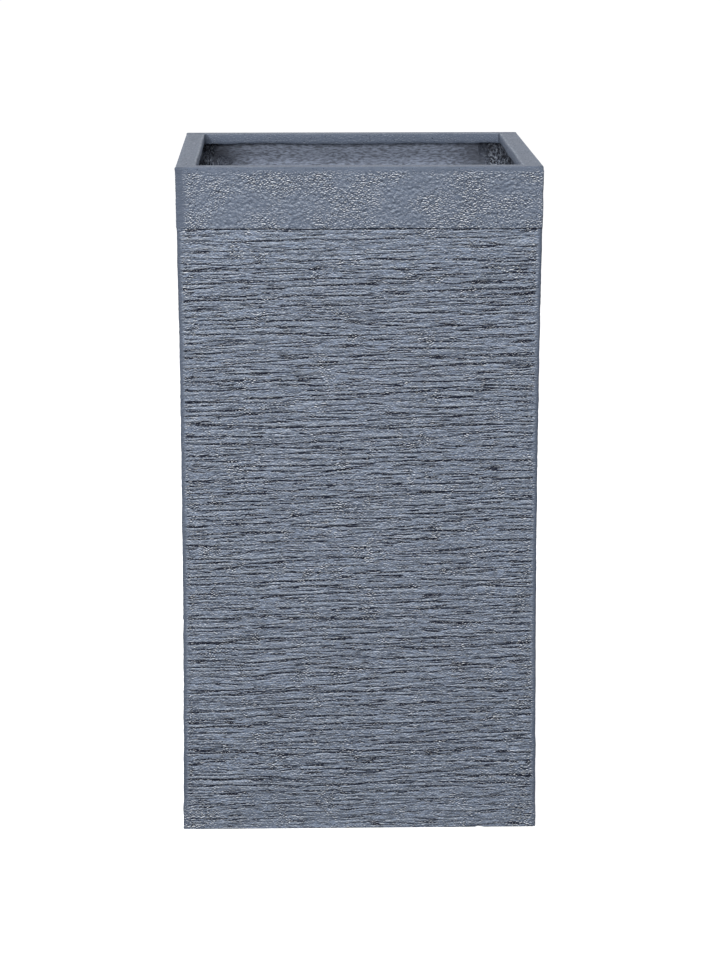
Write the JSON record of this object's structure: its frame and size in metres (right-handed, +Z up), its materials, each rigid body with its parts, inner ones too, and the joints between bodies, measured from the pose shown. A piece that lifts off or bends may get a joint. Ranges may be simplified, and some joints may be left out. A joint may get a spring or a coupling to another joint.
{
  "type": "tall square planter",
  "caption": "Tall square fibreglass planter with a thick flat rim, a raised floor and a pull-out rubber drain plug.",
  "frame": {"origin": "middle of the footprint, on the ground", "axes": "+Z is up, -Y is the front, +X is to the right seen from the front"},
  "size_m": [0.4, 0.4, 0.75],
  "materials": {
    "wall_laminate": "satin",
    "floor_laminate": "matte",
    "mat_and_resin": "matte",
    "plug_rubber": "matte"
  },
  "bodies": {
    "planter": {"front_wall": "wall_laminate", "back_wall": "wall_laminate", "left_wall": "wall_laminate", "right_wall": "wall_laminate", "lip_front": "wall_laminate", "lip_back": "wall_laminate", "lip_left": "wall_laminate", "lip_right": "wall_laminate", "corner_fillet_front_left": "mat_and_resin", "corner_fillet_front_right": "mat_and_resin", "corner_fillet_back_left": "mat_and_resin", "corner_fillet_back_right": "mat_and_resin", "floor_bead_front": "mat_and_resin", "floor_bead_back": "mat_and_resin", "floor_bead_left": "mat_and_resin", "floor_bead_right": "mat_and_resin", "floor_panel": "floor_laminate"},
    "plug": {"drain_plug": "plug_rubber"}
  },
  "joints": [
    {"name": "plug_lift", "type": "slide", "parent": "planter", "child": "plug", "axis": [0, 0, 1], "range_m": [0, 0.03]}
  ]
}
